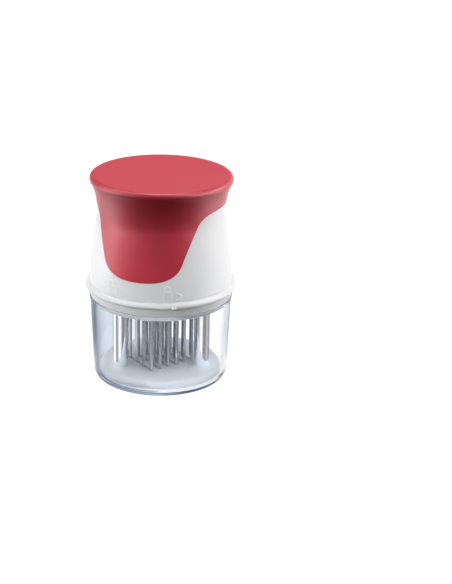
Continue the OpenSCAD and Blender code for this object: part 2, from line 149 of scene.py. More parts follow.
class GripSizes(bpy.types.PropertyGroup):
    """Sizes and colours of the grip's shell and cover."""

    skirt_radius: size("Skirt radius", "Radius of the grip where it meets the ring", 51.9 * MM)
    shoulder_radius: size("Shoulder radius", "Radius where the neck begins", 46.5 * MM)
    shoulder_height: size("Shoulder height", "Height of the shoulder above the skirt's edge", 47.7 * MM)
    rim_round: size("Rim rounding", "Rounding of the rim", 3.2 * MM)
    dish: size("Dish", "Depth of the shallow dish in the top", 0.8 * MM)
    cover_thickness: size("Cover thickness", "Thickness of the soft cover", 1.8 * MM)
    cover_proud: size("Cover overhang", "How far the cover stands proud of the shell", 0.5 * MM)
    lip_round: size("Lip rounding", "Rounding of the cover's edge", 0.4 * MM)
    seam: size("Seam", "Gap between the cover and the shell", 0.1 * MM)
    tongue_half_width: size("Tongue half width", "Half width of the tongue's lower part", 29.3 * MM)
    tongue_corner_height: size("Tongue corner height", "Height of the lower corners", 15.5 * MM)
    tongue_corner_cut: size("Tongue corner cut", "How much the lower corners are cut", 2.5 * MM)
    arch_height: size("Arch height", "Height above the skirt where the arches are level", 59.8 * MM)
    arch_round: size("Arch rounding", "Height of the rounding under the arches", 10 * MM)
    arch_lean: size("Arch lean", "Widening of the tongue where the rounding starts", 6.4 * MM)
    arch_run: size("Arch run", "Distance from the tongue at which the arch is level", 21.9 * MM)
    shell_wall: size("Shell wall", "Wall of the shell under the cover", 2.2 * MM)
    ceiling: size("Ceiling", "Thickness of the shell's ceiling", 3 * MM)
    cover_colour: colour("Cover colour", "Colour of the soft cover", (0.55, 0.035, 0.06))
    shell_colour: colour("Shell colour", "Colour of the white plastic", paint(240, 240, 241))


class WorksSizes(bpy.types.PropertyGroup):
    """Sizes and colours of the blades, tubes, springs and press plate."""

    tube_wall: size("Tube wall", "Wall of the guide tubes", 0.6 * MM)
    tube_round: size("Tube edge", "Rounding of the tubes' ends", 0.2 * MM)
    plate_round: size("Plate rounding", "Rounding of the press plate's upper edge", 4.6 * MM)
    slot_width: size("Slot width", "Width of the slots for the blade rows", 2.2 * MM)
    slot_spare: size("Slot spare", "Extra length of a slot at each end", 0.8 * MM)
    blade_thickness: size("Blade thickness", "Thickness of the blade steel", 1.4 * MM)
    blade_width: size("Blade width", "Width of one blade", 3.6 * MM)
    blade_pitch: size("Blade pitch", "Distance between the blades of a row", 9.5 * MM)
    row_pitch: size("Row pitch", "Distance between the rows", 7.05 * MM)
    edge_height: size("Cutting edge", "Height of the slanted cutting edge", 8 * MM)
    wire_radius: size("Spring wire", "Radius of the spring wire", 0.5 * MM)
    spring_turns: bpy.props.IntProperty(
        name="Spring turns", description="Turns of each return spring", default=12, min=4, max=24
    )
    block_angle: turn("Block angle", "Turn of the blade block about the upright axis", 51)
    plate_colour: colour("Plate colour", "Colour of the press plate", paint(234, 238, 244))
    steel_colour: colour("Steel colour", "Colour of the polished steel", (0.78, 0.79, 0.81))


class StageSettings(bpy.types.PropertyGroup):
    """Camera and light of the stage."""

    distance: size("Camera distance", "Distance from the camera to the middle of the tool", 1150 * MM)
    aim_height: size("Aim height", "Height of the point that the camera was fitted to", 76 * MM)
    azimuth: turn("Azimuth", "Turn of the camera to the right of the front", 17.9)
    elevation: turn("Elevation", "Height of the camera above the horizon", 20.3)
    roll: turn("Roll", "Lean of the camera", 0.45)
    focal: number("Focal length", "Focal length in pixels of the picture", 1587)
    aim_x: number("Aim X", "Column of the picture on which the aimed point lies", 161.0)
    aim_y: number("Aim Y", "Row of the picture on which the aimed point lies", 274.25)


# ---------------------------------------------------------------- curves and profiles


def bezier(a, b, c, d, count):
    """Points of the cubic curve (1-t)^3 a + 3t(1-t)^2 b + 3t^2(1-t) c + t^3 d."""
    t = np.linspace(0, 1, count)[:, None]
    a, b, c, d = (np.asarray(p, float) for p in (a, b, c, d))
    return (1 - t) ** 3 * a + 3 * t * (1 - t) ** 2 * b + 3 * t * t * (1 - t) * c + t**3 * d


def arc(centre, radius, start, end, count):
    """Points centre + radius (cos a, sin a), a from start to end in degrees."""
    a = np.radians(np.linspace(start, end, count))[:, None]
    return np.asarray(centre) + radius * np.hstack([np.cos(a), np.sin(a)])


def rounded(corners, count):
    """Profile through corners (r, z, rounding): each corner gives way to an arc that touches both
    of its sides, at rounding / tan(half the angle between them)."""
    corners = np.asarray(corners, float)
    points = [corners[:1, :2]]
    for before, corner, after in zip(corners[:-2], corners[1:-1], corners[2:]):
        if corner[2] <= 0:
            points.append(corner[None, :2])
            continue
        to_before = (before - corner)[:2] / np.linalg.norm((before - corner)[:2])
        to_after = (after - corner)[:2] / np.linalg.norm((after - corner)[:2])
        half = math.acos(np.clip(to_before @ to_after, -1, 1)) / 2
        middle = to_before + to_after
        centre = corner[:2] + middle / np.linalg.norm(middle) * corner[2] / math.sin(half)
        first = corner[:2] + to_before * corner[2] / math.tan(half) - centre
        last = corner[:2] + to_after * corner[2] / math.tan(half) - centre
        start = math.atan2(first[1], first[0])
        sweep_by = (math.atan2(last[1], last[0]) - start + math.pi) % (2 * math.pi) - math.pi
        points.append(arc(centre, corner[2], math.degrees(start), math.degrees(start + sweep_by), count))
    points.append(corners[-1:, :2])
    return np.vstack(points)


def heading(angle):
    """Unit vectors (sin a, -cos a) in plan for angles from the front."""
    return np.stack([np.sin(angle), -np.cos(angle)], -1)


def revolve(profile, angles, centre=(0, 0)):
    """Grid of points: profile point (r, z) at angle a lies at centre + r (sin a, -cos a), height z."""
    r, z = profile[:, 0][:, None], profile[:, 1][:, None]
    plan = r[..., None] * heading(angles)[None] + np.asarray(centre)
    return np.concatenate([plan, np.broadcast_to(z, (len(profile), len(angles)))[..., None]], -1)


def all_round(count):
    """Evenly spaced angles round the axis, starting at the front."""
    return np.arange(count) * 2 * math.pi / count


# ---------------------------------------------------------------- meshes


def make_object(name, points, faces):
    """Smooth mesh object at the origin from an array of points and lists of faces."""
    mesh = bpy.data.meshes.new(name)
    mesh.from_pydata(points.tolist(), [], faces)
    mesh.polygons.foreach_set("use_smooth", [True] * len(mesh.polygons))
    mesh.set_sharp_from_angle(angle=SHARP_ANGLE)
    mesh.validate()
    mesh.update()
    piece = bpy.data.objects.new(name, mesh)
    bpy.context.scene.collection.objects.link(piece)
    return piece


def skin_faces(grid, loop=False, caps=(False, False)):
    """Points and faces of a grid whose columns close on themselves: a face joins rows i and i + 1,
    columns j and j + 1. A loop joins the last row to the first, a cap closes an end row to its middle."""
    rows, columns = grid.shape[:2]
    i = np.arange(rows if loop else rows - 1)[:, None]
    j = np.arange(columns)[None, :]
    below, beside = (i + 1) % rows, (j + 1) % columns
    corners = [i * columns + j, below * columns + j, below * columns + beside, i * columns + beside]
    faces = np.stack(corners, -1).reshape(-1, 4).tolist()
    points = grid.reshape(-1, 3)
    ring = np.arange(columns)
    after = (ring + 1) % columns
    for row, wanted, flip in ((0, caps[0], False), (rows - 1, caps[1], True)):
        if wanted:
            tip = len(points)
            points = np.vstack([points, grid[row].mean(0)])
            first, second = (after, ring) if flip else (ring, after)
            fan = np.stack([np.full(columns, tip), row * columns + first, row * columns + second], -1)
            faces += fan.tolist()
    return points, faces


def skin(name, grid, loop=False, caps=(False, False)):
    """Object made of one closed grid."""
    return make_object(name, *skin_faces(grid, loop, caps))


def joined(name, parts):
    """Object made of several (points, faces) shells."""
    points, faces, start = [], [], 0
    for part_points, part_faces in parts:
        points.append(part_points)
        faces += [[start + v for v in face] for face in part_faces]
        start += len(part_points)
    return make_object(name, np.vstack(points), faces)


def sweep(path, normals, half_width, half_height, sides=8):
    """Grid of a ridge: at each path point an ellipse half_width across the path and half_height
    along the surface normal, its turn given by the path's tangent."""
    tangent = np.gradient(path, axis=0)
    tangent /= np.linalg.norm(tangent, axis=1, keepdims=True)
    side = np.cross(normals, tangent)
    side /= np.linalg.norm(side, axis=1, keepdims=True)
    a = all_round(sides)[None, :, None]
    return path[:, None] + half_width * np.cos(a) * side[:, None] + half_height * np.sin(a) * normals[:, None]


def put_on(piece, body, slot, material, *nodes):
    """Gives a piece its body and material, and hides the CAD nodes that it stands for. The slot is not used.
    """
    piece.data.materials.clear()
    piece.data.materials.append(material)
    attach(piece, body)
    if nodes:
        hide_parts(*nodes)


# ---------------------------------------------------------------- materials


class Graph:
    """Short way to wire a node tree."""

    def __init__(self, tree):
        self.nodes, self.links = tree.nodes, tree.links

    def add(self, kind, **values):
        """New node of a kind; the values go to its sockets of that name."""
        node = self.nodes.new("ShaderNode" + kind)
        for name, value in values.items():
            node.inputs[name.replace("_", " ")].default_value = value
        return node

    def link(self, source, target):
        self.links.new(source, target)

    def calc(self, operation, *values):
        """Output of a Math node whose inputs are numbers or outputs; a difference stays from 0 to 1."""
        node = self.nodes.new("ShaderNodeMath")
        node.operation = operation
        node.use_clamp = operation == "SUBTRACT"
        for socket, value in zip(node.inputs, values):
            if isinstance(value, (int, float)):
                socket.default_value = value
            else:
                self.link(value, socket)
        return node.outputs[0]

    def blend(self, share, first, second):
        """Output of a Mix Shader: first where share is 0, second where it is 1."""
        node = self.nodes.new("ShaderNodeMixShader")
        for socket, value in zip(node.inputs, (share, first, second)):
            self.link(value, socket)
        return node.outputs[0]

    def looks_through(self, rays):
        """1 for rays that leave clear plastic and have met no matt surface since the camera, else 0."""
        scattered = self.calc("GREATER_THAN", rays.outputs["Diffuse Depth"], 0.5)
        return self.calc("SUBTRACT", rays.outputs["Is Transmission Ray"], scattered)

    def mirrored_inside(self, rays):
        """1 for rays that passed a clear wall, were mirrored behind it and passed a wall again."""
        mirrored = self.calc("GREATER_THAN", rays.outputs["Glossy Depth"], 0.5)
        passed = self.calc("GREATER_THAN", rays.outputs["Transmission Depth"], 2.5)
        return self.calc("MULTIPLY", mirrored, passed)

    def compass(self, vector, azimuth, stops):
        """Colour round the upright axis: stops are (angle in degrees from the camera's side, positive
        to the right, then a grey level or a colour)."""
        turned = self.add("Mapping", Rotation=(0, 0, -azimuth))
        self.link(vector, turned.inputs["Vector"])
        split = self.add("SeparateXYZ")
        self.link(turned.outputs["Vector"], split.inputs["Vector"])
        angle = self.calc("ARCTAN2", split.outputs["X"], self.calc("MULTIPLY", split.outputs["Y"], -1))
        around = self.add("MapRange", From_Min=-math.pi, From_Max=math.pi)
        self.link(angle, around.inputs["Value"])
        bands = self.nodes.new("ShaderNodeValToRGB")
        elements = bands.color_ramp.elements
        while len(elements) < len(stops):
            elements.new(0.5)
        for element, (degrees, level) in zip(elements, stops):
            element.position = (degrees + 180) / 360
            element.color = (*(level if isinstance(level, tuple) else (level,) * 3), 1)
        self.link(around.outputs["Result"], bands.inputs["Fac"])
        return bands.outputs["Color"]


def finish(name, base, roughness, metallic=0.0, **inputs):
    """Principled material with plain values on its sockets, made once under its name."""
    material = bpy.data.materials.get(name)
    if material:
        return material
    material = bpy.data.materials.new(name)
    material.use_nodes = True
    shader = material.node_tree.nodes["Principled BSDF"]
    shader.inputs["Base Color"].default_value = (*base, 1)
    shader.inputs["Roughness"].default_value = roughness
    shader.inputs["Metallic"].default_value = metallic
    for socket, value in inputs.items():
        shader.inputs[socket.replace("_", " ")].default_value = value
    return material


def grain(material, scale, strength, distance, stretch=(1, 1, 1)):
    """Fine noise bump on Object coordinates; stretch below 1 draws the grain out along an axis."""
    graph = Graph(material.node_tree)
    if "Grain" in graph.nodes:
        return material
    mapping = graph.add("Mapping", Scale=stretch)
    noise = graph.add("TexNoise", Scale=scale, Detail=3)
    noise.name = "Grain"
    bump = graph.add("Bump", Strength=strength, Distance=distance)
    graph.link(graph.add("TexCoord").outputs["Object"], mapping.inputs["Vector"])
    graph.link(mapping.outputs["Vector"], noise.inputs["Vector"])
    graph.link(noise.outputs["Fac"], bump.inputs["Height"])
    graph.link(bump.outputs["Normal"], graph.nodes["Principled BSDF"].inputs["Normal"])
    return material


def white_plastic():
    base = bpy.context.scene.grip_sizes.shell_colour
    return grain(finish("satin_white_plastic", base, 0.36, Specular_IOR_Level=0.45), 2600, 0.04, 0.1 * MM)


def painted_highlight_white():
    # whiter than the shell: a painted highlight that stands in for light caught by the raised strokes
    return finish("sign_plastic_painted_highlight", paint(250, 250, 250), 0.3)


def soft_red():
    base = bpy.context.scene.grip_sizes.cover_colour
    return grain(finish("soft_red_rubber", base, 0.38, Specular_IOR_Level=0.5), 3200, 0.08, 0.1 * MM)


def grey_plastic():
    return finish("plain_grey_plastic", paint(205, 206, 208), 0.45)


def plate_plastic():
    base = bpy.context.scene.works_sizes.plate_colour
    return finish("pale_grey_plate", base, 0.4, Specular_IOR_Level=0.25)


def polished_steel():
    return finish("polished_tube_steel", bpy.context.scene.works_sizes.steel_colour, 0.08, 1.0)


def blade_steel():
    steel = finish("stamped_blade_steel", (0.44, 0.46, 0.49), 0.2, 1.0)
    return grain(steel, 900, 0.4, 0.05 * MM, (1, 1, 0.06))


def dark_steel():
    return finish("plain_screw_steel", (0.42, 0.42, 0.44), 0.38, 1.0)


def clear_plastic():
    """Clear plastic: a refracting shell that lets lamp light through and darkens with depth. Where light has
    been mirrored in it four times or more, it shows a painted pale blue glow instead."""
    tint = bpy.context.scene.cup_sizes.tint
    material = finish("clear_cup_plastic", (0.99, 0.995, 1.0), 0.0, Transmission_Weight=1.0, IOR=1.49)
    graph = Graph(material.node_tree)
    if "Depth tint" in graph.nodes:
        return material
    output = graph.nodes["Material Output"]
    rays = graph.add("LightPath")
    lets_pass = graph.add("BsdfTransparent", Color=(0.95, 0.955, 0.96, 1))
    refracts = graph.nodes["Principled BSDF"].outputs["BSDF"]
    shell = graph.blend(rays.outputs["Is Shadow Ray"], refracts, lets_pass.outputs["BSDF"])
    # painted glow: an even pale blue emission that stands in for light mirrored four times or more in the
    # wall
    painted_glow = graph.add("Emission", Color=(0.2, 0.235, 0.29, 1))
    often = graph.calc("GREATER_THAN", rays.outputs["Glossy Depth"], 3.5)
    graph.link(graph.blend(often, shell, painted_glow.outputs["Emission"]), output.inputs["Surface"])
    material.cycles.emission_sampling = "NONE"
    depth = graph.add("VolumeAbsorption", Color=(*tint, 1), Density=25)
    depth.name = "Depth tint"
    graph.link(depth.outputs["Volume"], output.inputs["Volume"])
    return material


# ---------------------------------------------------------------- the grip's form


class GripForm:
    """The grip's surface of revolution and the seam between cover and shell, from the sizes."""

    SKIRT_LEAN = 1.1 * MM  # narrowing of the dome over its first stretch
    SKIRT_SHARE = 0.385  # that stretch as a share of the shoulder's height
    DOME_PULL = 11 * MM  # reach of the dome's curve under the shoulder
    NECK_LEAN = 0.2  # how fast the neck narrows with height at the shoulder
    NECK_PULL = 4 * MM  # reach of the neck's curve above the shoulder
    RIM_PULL = 10 * MM  # reach of the neck's curve under the rim
    RIM_START = 32  # degrees under level at which the neck runs into the rim's rounding
    TONGUE_FLAT = 0.57  # share of the tongue's half width over which its foot stays level
    ARCH_PULL = (0.2, 0.66)  # how the seam leaves the tongue for the arch, in arch roundings

    def __init__(self, sizes):
        self.sizes = s = sizes
        self.height = COVER_HIGH[2] - SKIRT_Z
        shoulder = np.array([s.shoulder_radius, s.shoulder_height])
        under = math.radians(self.RIM_START)
        self.rim_centre = np.array([COVER_HIGH[0] - s.rim_round, self.height - s.rim_round])
        rim_point = self.rim_centre + s.rim_round * np.array([math.cos(under), -math.sin(under)])
        rim_pull = self.RIM_PULL * np.array([math.sin(under), math.cos(under)])
        skirt = np.array([s.skirt_radius, 0])
        dome = bezier(
            skirt, skirt + [-self.SKIRT_LEAN, self.SKIRT_SHARE * s.shoulder_height],
            shoulder + self.DOME_PULL * np.array([self.NECK_LEAN, -1]), shoulder, 400,
        )
        neck_pull = self.NECK_PULL * np.array([-self.NECK_LEAN, 1])
        neck = bezier(shoulder, shoulder + neck_pull, rim_point - rim_pull, rim_point, 400)
        self.side = np.vstack([dome, neck[1:]])
        self.rim_start = rim_point[1]
        self._find_seam()

    def radius(self, z):
        """Outer radius at height z above the skirt's edge."""
        return np.interp(z, self.side[:, 1], self.side[:, 0])

    def slope(self, z):
        """Change of radius with height at z."""
        step = 0.2 * MM
        return (self.radius(z + step) - self.radius(z - step)) / (2 * step)

    def point(self, angle, z, inset=0):
        """Points of the side at angle and height, drawn in by inset along the radius."""
        r = self.radius(z) - inset
        return np.concatenate([r[..., None] * heading(angle), (SKIRT_Z + z)[..., None]], -1)

    def normal(self, angle, z):
        """Outward unit normals of the side: (radial, -slope) scaled to length 1."""
        slope = self.slope(z)
        n = np.concatenate([heading(angle), -slope[..., None]], -1)
        return n / np.linalg.norm(n, axis=-1, keepdims=True)

    def _find_seam(self):
        """The tongue's outline is drawn in the X, Z plane and carried along Y on to the side: a point
        (x, z) of it lies at the angle asin(x / radius(z)). Columns stand evenly along the seam."""
        s = self.sizes
        low = COVER_LOW[2] - SKIRT_Z
        half = s.tongue_half_width
        start = np.array([half + s.arch_lean, s.arch_height - s.arch_round])
        end = np.array([half + s.arch_run, s.arch_height])
        corner = bezier(
            (0, low), (self.TONGUE_FLAT * half, low),
            (half - s.tongue_corner_cut, low + s.tongue_corner_cut),
            (half, low + s.tongue_corner_height), 300,
        )
        straight = np.linspace(corner[-1], start, 120)[1:-1]
        leave = s.arch_round * np.array(self.ARCH_PULL)
        arch = bezier(start, start + leave, end - [s.arch_round, 0], end, 300)
        outline = np.vstack([corner, straight, arch])
        share = outline[:, 0] / self.radius(outline[:, 1])
        inside = share < 0.999
        angle = np.append(np.arcsin(share[inside]), math.pi / 2)
        z = np.append(outline[inside, 1], outline[inside][-1, 1])
        run = np.hypot(np.diff(angle) * s.shoulder_radius, np.diff(z))
        along = np.concatenate([[0], np.cumsum(run)])
        quarter = COLUMNS // 4 + 8
        even = np.linspace(0, along[-1], quarter + 1)
        a = np.interp(even, along, angle)
        h = np.interp(even, along, z)
        half_round = np.concatenate([a[:-1], math.pi - a[:0:-1]])
        self.columns = np.concatenate([half_round, half_round + math.pi])
        self.seam_height = np.concatenate([h[:-1], h[:0:-1], h[:-1], h[:0:-1]])

    def seam_frame(self):
        """Seam points with the surface normal and the direction across the seam, out of the cover."""
        points = self.point(self.columns, self.seam_height)
        around = np.roll(points, -1, axis=0) - np.roll(points, 1, axis=0)
        normal = self.normal(self.columns, self.seam_height)
        across = np.cross(around, normal)
        across /= np.linalg.norm(across, axis=1, keepdims=True)
        return points, normal, across

    def from_seam(self, across_by):
        """Angle and height of the seam moved across_by over the surface, away from the cover."""
        points, _, across = self.seam_frame()
        moved = points + across_by * across
        return np.unwrap(np.arctan2(moved[:, 0], -moved[:, 1])), moved[:, 2] - SKIRT_Z


def grip_form():
    return GripForm(bpy.context.scene.grip_sizes)


def cover_grid(form):
    """Cover: from the middle of the top out over the dish and rim, down the side to the rounded lip
    along the seam, and back up inside, one thickness in."""
    s = form.sizes
    columns = form.columns
    dish_edge = form.rim_centre[0]
    r = np.linspace(POLE, dish_edge, 24)
    top = np.stack([r, form.height - s.dish * (1 - (r / dish_edge) ** 2)], -1)
    rim = arc(form.rim_centre, s.rim_round, 90, -form.RIM_START, 14)[1:]
    crown = np.vstack([top, rim]) + [0, SKIRT_Z]
    rows = [revolve(crown, columns)]
    lip_angle, lip_z = form.from_seam(-s.lip_round)
    share = np.linspace(0, 1, 60)[1:, None]
    drift = np.unwrap(lip_angle - columns)
    drift = (drift + math.pi) % (2 * math.pi) - math.pi
    z = form.rim_start + (lip_z - form.rim_start)[None] * share
    rows.append(form.point(columns[None] + drift[None] * share**3, z))
    points, normal, across = form.seam_frame()
    bend = np.radians(np.linspace(0, 90, 6)[1:])[:, None, None]
    rows.append(points - s.lip_round * (across * (1 - np.sin(bend)) + normal * (1 - np.cos(bend))))
    play = 0.03 * MM
    inset = s.cover_thickness - play
    rows.append(form.point(columns, form.seam_height, inset)[None])
    core_top = form.height - s.dish - s.cover_thickness
    back = np.linspace(0, 1, 30)[1:, None]
    z = form.seam_height + (core_top - form.seam_height)[None] * back
    rows.append(form.point(np.broadcast_to(columns, z.shape), z, inset))
    edge = form.radius(core_top) - inset
    inner = np.array([[edge, core_top], [edge / 2, core_top], [POLE, core_top]]) + [0, SKIRT_Z + play]
    rows.append(revolve(inner, columns))
    return np.vstack(rows)


def shell_grid(form):
    """Shell: core under the cover from the middle of its top down to the seam, ledge out to the flush
    field, field and skirt down to the edge, and back up inside to the ceiling."""
    s = form.sizes
    columns = form.columns
    ledge, land, land_play = 0.12 * MM, 4 * MM, 0.1 * MM
    core_top = form.height - s.dish - s.cover_thickness
    core_r = form.radius(core_top) - s.cover_thickness
    top = np.array([[POLE, core_top], [core_r / 2, core_top], [core_r, core_top]]) + [0, SKIRT_Z]
    rows = [revolve(top, columns)]
    edge_angle, edge_z = form.from_seam(s.seam)
    drift = (edge_angle - columns + math.pi) % (2 * math.pi) - math.pi
    share = np.linspace(0, 1, 24)[1:, None]
    z = core_top + (edge_z - core_top)[None] * share
    rows.append(form.point(columns[None] + drift[None] * share, z, s.cover_thickness))
    rows.append(form.point(columns + drift, edge_z, s.cover_proud + ledge)[None])
    share = np.linspace(0, 1, 56)[:, None]
    z = (edge_z - ledge)[None] * (1 - share) + 0.3 * MM * share
    rows.append(form.point(columns[None] + drift[None] * (1 - share), z, s.cover_proud))
    land_r = CARRIER_HIGH[0] + land_play
    edge_r = s.skirt_radius - s.cover_proud
    edge = np.array([[edge_r - 0.1 * MM, 0.1 * MM], [edge_r - 0.3 * MM, 0], [land_r, 0], [land_r, land]])
    ceiling = core_top - s.ceiling
    inside_z = np.linspace(land + 0.2 * MM, ceiling, 30)
    inside = np.stack([form.radius(inside_z) - s.cover_thickness - s.shell_wall, inside_z], -1)
    inner = np.vstack([edge, inside, [[inside[-1, 0] / 2, ceiling], [POLE, ceiling]]]) + [0, SKIRT_Z]
    rows.append(revolve(inner, columns))
    return np.vstack(rows)


# ---------------------------------------------------------------- operators


class TENDERIZER_OT_cup(bpy.types.Operator):
    """Builds the clear cup: a drafted pot with an even wall, a rounded foot and a rounded rim."""

    bl_idname = "tenderizer.cup"
    bl_label = "Clear Cup"

    LIP_EDGE = 0.15 * MM  # rounding of the lip's lower edge
    LIP_ROOT = 0.2 * MM  # rounding where the lip meets the wall
    INSIDE_LESS = 1 * MM  # how much smaller the foot's rounding is inside

    def execute(self, context):
        s = context.scene.cup_sizes
        height, rim = CUP_HIGH[2], CUP_HIGH[0] - s.lip_proud
        foot, lip = rim - s.draft, height - s.lip_height
        profile = rounded([
            (POLE, s.floor, 0), (foot - s.wall, s.floor, s.foot_round - self.INSIDE_LESS),
            (rim - s.wall, height, s.rim_round), (rim + s.lip_proud, height, s.rim_round),
            (rim + s.lip_proud, lip + s.lip_proud / 2, self.LIP_EDGE),
            (rim - s.draft * s.lip_height / height, lip, self.LIP_ROOT),
            (foot, 0, s.foot_round), (POLE, 0, 0),
        ], 12)
        cup = skin("clear_cup_shell", revolve(profile, all_round(256)), caps=(True, True))
        put_on(cup, "cup", "clear_plastic", clear_plastic(), "clear_cup")
        return {"FINISHED"}


class TENDERIZER_OT_ring(bpy.types.Operator):
    """Builds the twist ring: bead, band and sleeve as one profile, and the index pip on the bead."""

    bl_idname = "tenderizer.ring"
    bl_label = "Twist Ring"

    BAND_PROUD = 0.1 * MM  # how far the band stands out from the cup's wall
    STEP_DROP = 0.2 * MM  # how far the step inside lies under the cup's rim
    SOFT = 0.25 * MM  # rounding of the ring's edges

    def execute(self, context):
        s = context.scene.ring_sizes
        cup = context.scene.cup_sizes
        rim_z, top, low = CUP_HIGH[2], RING_HIGH[2], RING_LOW[2]
        rim = CUP_HIGH[0] - cup.lip_proud
        band = rim + self.BAND_PROUD
        sleeve = rim - cup.draft * (1 - low / rim_z) - cup.wall - s.sleeve_gap
        recess = sleeve - s.sleeve_wall
        bore = recess - s.step
        step_z = rim_z - self.STEP_DROP
        bead = np.array([band + s.bead_proud - s.bead_half, top - s.bead_up])
        a = np.radians(np.linspace(90, -75, 34))
        reach = np.where(a < 0, s.bead_down, s.bead_up)
        outside = bead + np.stack([s.bead_half * np.cos(a), reach * np.sin(a)], -1)
        bead_low = bead[1] - s.bead_down
        foot = rounded([
            (*outside[-1], 0), (band - s.groove, bead_low, 0), (band - s.groove, bead_low - s.groove, 0),
            (band, bead_low - s.groove, 0.1 * MM), (band, rim_z, self.SOFT), (sleeve, rim_z, self.SOFT),
            (sleeve, low, self.SOFT), (recess, low, self.SOFT), (recess, step_z, 0), (bore, step_z, 0),
            (bore, top, self.SOFT), (bead[0], top, 0),
        ], 5)
        profile = np.vstack([outside, foot[1:-1]])
        ring = skin("twist_ring_body", revolve(profile, all_round(256)), loop=True)
        put_on(ring, "ring", "white_plastic", white_plastic(), "twist_ring")
        centre = (band + s.bead_proud + s.index_proud - s.index_radius) * heading(np.array(s.index_angle))
        ball = arc((0, bead[1]), s.index_radius, 88, -88, 24)
        pip = skin("index_pip", revolve(ball, all_round(48), centre), caps=(True, True))
        put_on(pip, "ring", "white_plastic", white_plastic())
        return {"FINISHED"}


class TENDERIZER_OT_grip(bpy.types.Operator):
    """Builds the white shell with its arches and the soft red cover with its two tongues."""

    bl_idname = "tenderizer.grip"
    bl_label = "Grip Shell and Cover"

    COLUMN_ANGLES = (56, 166, 291)  # degrees from +X to the screw columns
    COLUMN_DISTANCE = 39 * MM
    COLUMN_RADIUS = 3.6 * MM
    COLUMN_LIFT = 3 * MM  # from the carrier's underside to the columns' foot
    SOCKET_RADIUS = 7.2 * MM
    SOCKET_DEPTH = 6 * MM  # how far a socket reaches down its guide post
    ROOT = 0.5 * MM  # how far columns and sockets run into the ceiling

    def execute(self, context):
        form = grip_form()
        cover = skin("soft_cover", cover_grid(form), caps=(True, True))
        put_on(cover, "grip", "red_soft_touch", soft_red(), "grip_cover")
        shell = skin("grip_shell", shell_grid(form), caps=(True, True))
        put_on(shell, "grip", "white_plastic", white_plastic(), "body_shell")
        self.add_fittings()
        return {"FINISHED"}

    def add_fittings(self):
        """Screw columns and post sockets inside the shell, as plain cylinders from their CAD places."""
        s = bpy.context.scene.grip_sizes
        ceiling = COVER_HIGH[2] - s.dish - s.cover_thickness - s.ceiling + self.ROOT
        parts = []
        for degrees in self.COLUMN_ANGLES:
            a = math.radians(degrees)
            centre = self.COLUMN_DISTANCE * np.array([math.cos(a), math.sin(a)])
            foot = CARRIER_LOW[2] + self.COLUMN_LIFT
            parts.append(self.column(centre, self.COLUMN_RADIUS, foot, ceiling))
        for post in ("guide_post_1", "guide_post_2", "guide_post_3"):
            low, high = node_box(post)
            centre = (low + high)[:2] / 2
            parts.append(self.column(centre, self.SOCKET_RADIUS, high[2] - self.SOCKET_DEPTH, ceiling))
        fittings = joined("shell_columns", parts)
        put_on(fittings, "grip", "white_plastic", white_plastic())

    def column(self, centre, radius, low, high, bevel=0.3 * MM):
        """Upright cylinder with a bevelled foot."""
        profile = np.array([[radius, high], [radius, low + bevel], [radius - bevel, low]])
        return skin_faces(revolve(profile, all_round(32), centre), caps=(True, True))


class TENDERIZER_OT_signs(bpy.types.Operator):
    """Builds the raised signs on the skirt: a closed padlock, a triangle and an open padlock."""

    bl_idname = "tenderizer.signs"
    bl_label = "Raised Signs"

    # Points are in millimetres across a sign's middle and above its foot.
    FOOT = 1.6  # millimetres from the skirt's edge up to the signs' foot
    HALF_WIDTH = 0.43 * MM
    RISE = 0.55 * MM
    SPACING = 0.25  # millimetres between the points of a stroke
    HOOP = 2.0  # radius of the padlocks' hoops in millimetres
    PADLOCK = ((-2.9, 0), (-2.9, 5.4), (-2.4, 5.9), (2.4, 5.9), (2.9, 5.4), (2.9, 0))
    TRIANGLE = ((-2.0, 0), (-2.0, 5.2), (2.4, 2.6), (-2.0, 0))

    def execute(self, context):
        self.form = grip_form()
        hoop = arc((0, 7.9), self.HOOP, 0, 360, 25)
        self.sign("closed_padlock_sign", 23.0, [self.PADLOCK, hoop])
        self.sign("turn_arrow_sign", 32.2, [self.TRIANGLE])
        bow = [-2.4, 7.4] + arc((0, 0), 1, 0, 180, 14) * [self.HOOP, 2.2]
        hook = np.vstack([(-0.4, 5.9), bow, (-4.4, 6.2)])
        self.sign("open_padlock_sign", -22.7, [self.PADLOCK, hook])
        return {"FINISHED"}

    def sign(self, name, middle, strokes):
        """Raised strokes round the angle middle, given in degrees from the front."""
        parts = [self.stroke(np.array(points), math.radians(middle)) for points in strokes]
        # the signs take the whiter colour, a painted highlight for their raised strokes
        put_on(joined(name, parts), "grip", "white_plastic", painted_highlight_white())

    def stroke(self, points, middle):
        """Ridge along evenly spaced points (x, z), laid on the skirt at the angle middle + x / radius."""
        s = self.form.sizes
        steps = np.hypot(*np.diff(points, axis=0).T)
        along = np.concatenate([[0], np.cumsum(steps)])
        even = np.linspace(0, along[-1], max(8, int(along[-1] / self.SPACING)))
        x = np.interp(even, along, points[:, 0]) * MM
        z = (self.FOOT + np.interp(even, along, points[:, 1])) * MM
        angle = middle + x / self.form.radius(z)
        path = self.form.point(angle, z, s.cover_proud)
        grid = sweep(path, self.form.normal(angle, z), self.HALF_WIDTH, self.RISE)
        points, faces = skin_faces(grid, caps=(True, True))
        return points, [face[::-1] for face in faces]


